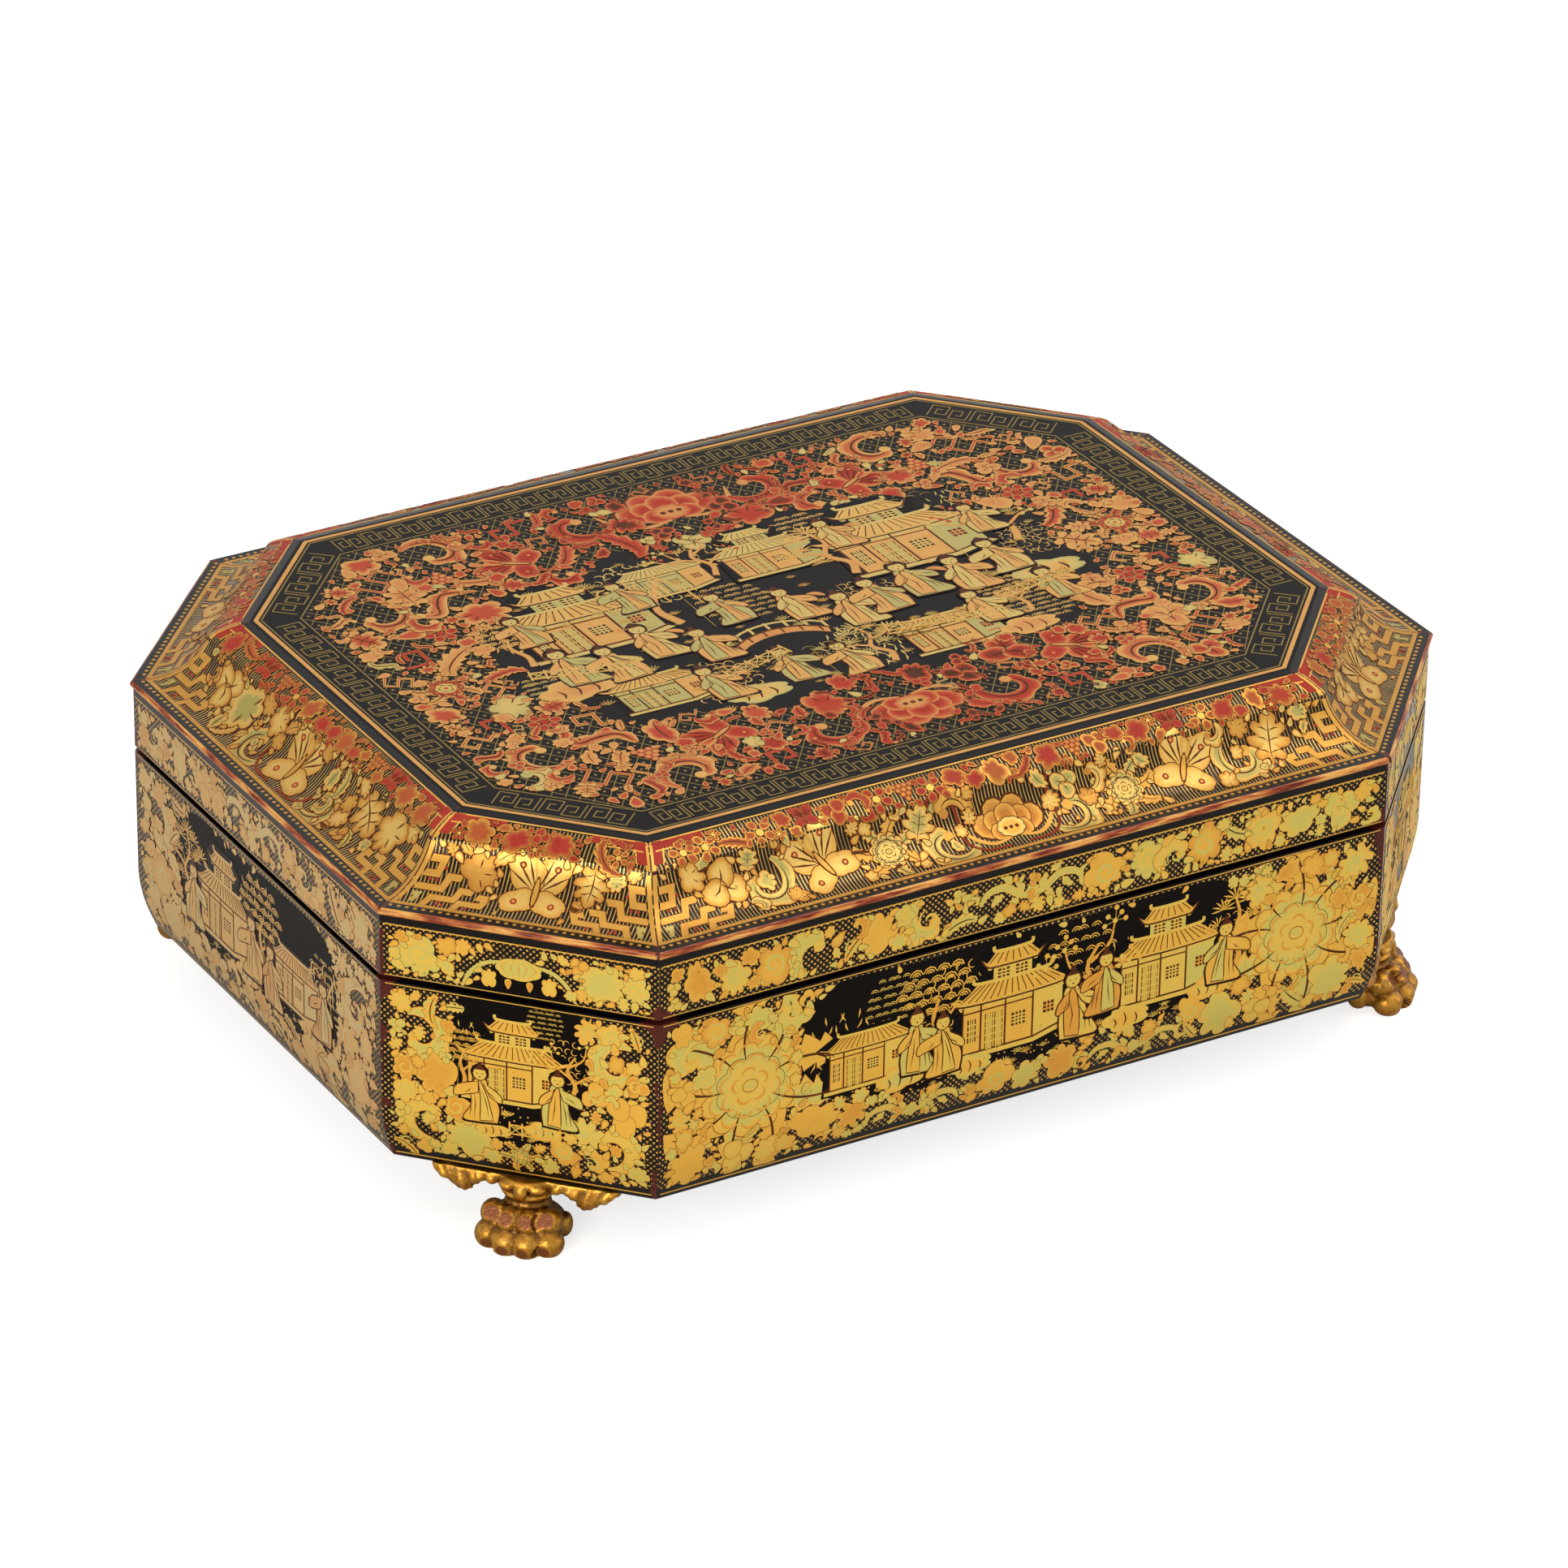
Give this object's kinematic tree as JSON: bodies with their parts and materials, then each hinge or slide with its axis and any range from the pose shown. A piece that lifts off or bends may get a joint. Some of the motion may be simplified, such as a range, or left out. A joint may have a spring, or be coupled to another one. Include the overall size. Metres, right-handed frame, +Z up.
{
  "type": "games box",
  "caption": "Octagonal lacquered games box with a hinged ogee lid, carved giltwood paw feet and lidded counter boxes inside.",
  "frame": {"origin": "on the ground under the middle of the box, midway between its ends and between its front and back", "axes": "+Z up, the front faces -Y, the long way of the box lies along X"},
  "size_m": [0.38, 0.3013, 0.1285],
  "materials": {
    "gilt_lacquer": "black lacquer over wood, decorated in two colours of gilding and red, glossy",
    "inner_lacquer": "plain black lacquer, satin",
    "board_wood": "thin dark lacquer over a wooden board",
    "giltwood": "carved wood, gilt over red bole, worn",
    "brass": "aged brass"
  },
  "bodies": {
    "case": {"bottom_board": "board_wood", "case_wall_front": "gilt_lacquer", "case_wall_front_right": "gilt_lacquer", "case_wall_right": "gilt_lacquer", "case_wall_back_right": "gilt_lacquer", "case_wall_back": "gilt_lacquer", "case_wall_back_left": "gilt_lacquer", "case_wall_left": "gilt_lacquer", "case_wall_front_left": "gilt_lacquer", "foot_front_right": "giltwood", "foot_back_right": "giltwood", "foot_back_left": "giltwood", "foot_front_left": "giltwood", "hinge_case_leaf_left": "brass", "hinge_case_leaf_right": "brass", "hinge_pin_left": "brass", "hinge_pin_right": "brass", "hinge_screws_case": "brass"},
    "lid": {"top_panel": "gilt_lacquer", "lid_wall_front": "gilt_lacquer", "lid_wall_front_right": "gilt_lacquer", "lid_wall_right": "gilt_lacquer", "lid_wall_back_right": "gilt_lacquer", "lid_wall_back": "gilt_lacquer", "lid_wall_back_left": "gilt_lacquer", "lid_wall_left": "gilt_lacquer", "lid_wall_front_left": "gilt_lacquer", "ogee_border_front": "gilt_lacquer", "ogee_border_front_right": "gilt_lacquer", "ogee_border_right": "gilt_lacquer", "ogee_border_back_right": "gilt_lacquer", "ogee_border_back": "gilt_lacquer", "ogee_border_back_left": "gilt_lacquer", "ogee_border_left": "gilt_lacquer", "ogee_border_front_left": "gilt_lacquer", "hinge_lid_leaf_left": "brass", "hinge_lid_leaf_right": "brass", "hinge_screws_lid": "brass"},
    "counter_box_front_left": {"counter_box_front_left": "inner_lacquer"},
    "counter_lid_front_left": {"counter_lid_front_left": "gilt_lacquer"},
    "counter_box_front_right": {"counter_box_front_right": "inner_lacquer"},
    "counter_lid_front_right": {"counter_lid_front_right": "gilt_lacquer"},
    "counter_box_back_left": {"counter_box_back_left": "inner_lacquer"},
    "counter_lid_back_left": {"counter_lid_back_left": "gilt_lacquer"},
    "counter_box_back_right": {"counter_box_back_right": "inner_lacquer"},
    "counter_lid_back_right": {"counter_lid_back_right": "gilt_lacquer"},
    "counter_box_middle_front": {"counter_box_middle_front": "inner_lacquer"},
    "counter_lid_middle_front": {"counter_lid_middle_front": "gilt_lacquer"},
    "counter_box_middle_centre": {"counter_box_middle_centre": "inner_lacquer"},
    "counter_lid_middle_centre": {"counter_lid_middle_centre": "gilt_lacquer"},
    "counter_box_middle_back": {"counter_box_middle_back": "inner_lacquer"},
    "counter_lid_middle_back": {"counter_lid_middle_back": "gilt_lacquer"}
  },
  "joints": [
    {"name": "lid_hinge", "type": "hinge", "parent": "case", "child": "lid", "pos_m": [0, 0.1503, 0.08695], "axis": [-1, 0, 0], "range_deg": [0, 105]},
    {"name": "box_lift_front_left", "type": "slide", "parent": "case", "child": "counter_box_front_left", "axis": [0, 0, 1], "range_m": [0, 0.014]},
    {"name": "box_lid_lift_front_left", "type": "slide", "parent": "counter_box_front_left", "child": "counter_lid_front_left", "axis": [0, 0, 1], "range_m": [0, 0.012]},
    {"name": "box_lift_front_right", "type": "slide", "parent": "case", "child": "counter_box_front_right", "axis": [0, 0, 1], "range_m": [0, 0.014]},
    {"name": "box_lid_lift_front_right", "type": "slide", "parent": "counter_box_front_right", "child": "counter_lid_front_right", "axis": [0, 0, 1], "range_m": [0, 0.012]},
    {"name": "box_lift_back_left", "type": "slide", "parent": "case", "child": "counter_box_back_left", "axis": [0, 0, 1], "range_m": [0, 0.014]},
    {"name": "box_lid_lift_back_left", "type": "slide", "parent": "counter_box_back_left", "child": "counter_lid_back_left", "axis": [0, 0, 1], "range_m": [0, 0.012]},
    {"name": "box_lift_back_right", "type": "slide", "parent": "case", "child": "counter_box_back_right", "axis": [0, 0, 1], "range_m": [0, 0.014]},
    {"name": "box_lid_lift_back_right", "type": "slide", "parent": "counter_box_back_right", "child": "counter_lid_back_right", "axis": [0, 0, 1], "range_m": [0, 0.012]},
    {"name": "box_lift_middle_front", "type": "slide", "parent": "case", "child": "counter_box_middle_front", "axis": [0, 0, 1], "range_m": [0, 0.014]},
    {"name": "box_lid_lift_middle_front", "type": "slide", "parent": "counter_box_middle_front", "child": "counter_lid_middle_front", "axis": [0, 0, 1], "range_m": [0, 0.012]},
    {"name": "box_lift_middle_centre", "type": "slide", "parent": "case", "child": "counter_box_middle_centre", "axis": [0, 0, 1], "range_m": [0, 0.014]},
    {"name": "box_lid_lift_middle_centre", "type": "slide", "parent": "counter_box_middle_centre", "child": "counter_lid_middle_centre", "axis": [0, 0, 1], "range_m": [0, 0.012]},
    {"name": "box_lift_middle_back", "type": "slide", "parent": "case", "child": "counter_box_middle_back", "axis": [0, 0, 1], "range_m": [0, 0.014]},
    {"name": "box_lid_lift_middle_back", "type": "slide", "parent": "counter_box_middle_back", "child": "counter_lid_middle_back", "axis": [0, 0, 1], "range_m": [0, 0.012]}
  ]
}
